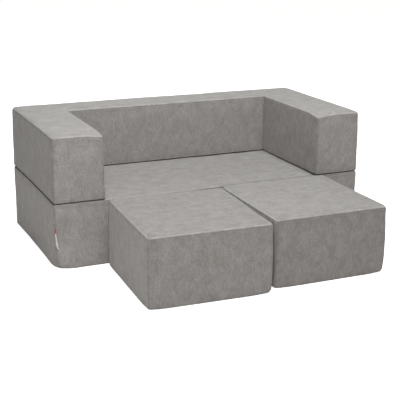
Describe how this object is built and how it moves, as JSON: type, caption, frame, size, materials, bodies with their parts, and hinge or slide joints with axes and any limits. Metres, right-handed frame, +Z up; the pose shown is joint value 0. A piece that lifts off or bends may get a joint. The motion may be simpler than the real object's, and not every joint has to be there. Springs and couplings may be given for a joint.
{
  "type": "modular foam play sofa",
  "caption": "Small modular foam sofa: a long base block, a U-shaped back with arms that lifts off, and square ottomans that pull away, all in grey velour covers.",
  "frame": {"origin": "middle of the base block's underside, on the floor", "axes": "+X along the sofa's width, +Y to the back of the sofa, +Z up"},
  "size_m": [1.067, 0.9312, 0.4225],
  "materials": {
    "velour": "short-pile grey microfibre velour with a soft brushed nap",
    "foam": "open-cell polyurethane foam, cut faces",
    "zip_tape": "woven polyester tape",
    "zip_coil": "nylon coil",
    "zip_slider": "die-cast slider, grey enamel",
    "label_tape": "folded white woven label tape with a plain red end, no text"
  },
  "bodies": {
    "base": {"base_bottom_panel": "velour", "base_core": "foam", "base_front_panel": "velour", "base_left_panel": "velour", "base_rear_panel": "velour", "base_right_panel": "velour", "base_top_panel": "velour", "base_zip_coil": "zip_coil", "base_zip_tape": "zip_tape", "side_tag": "label_tape"},
    "left_ottoman": {"left_ottoman_bottom_panel": "velour", "left_ottoman_core": "foam", "left_ottoman_front_panel": "velour", "left_ottoman_left_panel": "velour", "left_ottoman_rear_panel": "velour", "left_ottoman_right_panel": "velour", "left_ottoman_top_panel": "velour", "left_ottoman_zip_coil": "zip_coil", "left_ottoman_zip_tape": "zip_tape"},
    "right_ottoman": {"right_ottoman_bottom_panel": "velour", "right_ottoman_core": "foam", "right_ottoman_front_panel": "velour", "right_ottoman_left_panel": "velour", "right_ottoman_rear_panel": "velour", "right_ottoman_right_panel": "velour", "right_ottoman_top_panel": "velour", "right_ottoman_zip_coil": "zip_coil", "right_ottoman_zip_tape": "zip_tape"},
    "back": {"back_bottom_panel": "velour", "back_core": "foam", "back_rear_panel": "velour", "back_top_panel": "velour", "back_zip_coil": "zip_coil", "back_zip_tape": "zip_tape", "backrest_panel": "velour", "left_arm_core": "foam", "left_arm_front_panel": "velour", "left_arm_inner_panel": "velour", "left_arm_outer_panel": "velour", "right_arm_core": "foam", "right_arm_front_panel": "velour", "right_arm_inner_panel": "velour", "right_arm_outer_panel": "velour"},
    "base_zip_slider": {"base_zip_slider": "zip_slider"},
    "back_zip_slider": {"back_zip_slider": "zip_slider"},
    "left_ottoman_zip_slider": {"left_ottoman_zip_slider": "zip_slider"},
    "right_ottoman_zip_slider": {"right_ottoman_zip_slider": "zip_slider"}
  },
  "joints": [
    {"name": "back_lift", "type": "slide", "parent": "base", "child": "back", "axis": [0, 0, 1], "range_m": [0, 0.25]},
    {"name": "left_ottoman_pull", "type": "slide", "parent": "base", "child": "left_ottoman", "axis": [0, -1, 0], "range_m": [0, 0.4]},
    {"name": "right_ottoman_pull", "type": "slide", "parent": "base", "child": "right_ottoman", "axis": [0, -1, 0], "range_m": [0, 0.4]},
    {"name": "base_zip_run", "type": "slide", "parent": "base", "child": "base_zip_slider", "axis": [-1, 0, 0], "range_m": [0, 0.929]},
    {"name": "back_zip_run", "type": "slide", "parent": "back", "child": "back_zip_slider", "axis": [-1, 0, 0], "range_m": [0, 0.929]},
    {"name": "left_ottoman_zip_run", "type": "slide", "parent": "left_ottoman", "child": "left_ottoman_zip_slider", "axis": [-0.999, 0.0436, 0], "range_m": [0, 0.242]},
    {"name": "right_ottoman_zip_run", "type": "slide", "parent": "right_ottoman", "child": "right_ottoman_zip_slider", "axis": [-1, 0.0087, 0], "range_m": [0, 0.242]}
  ]
}
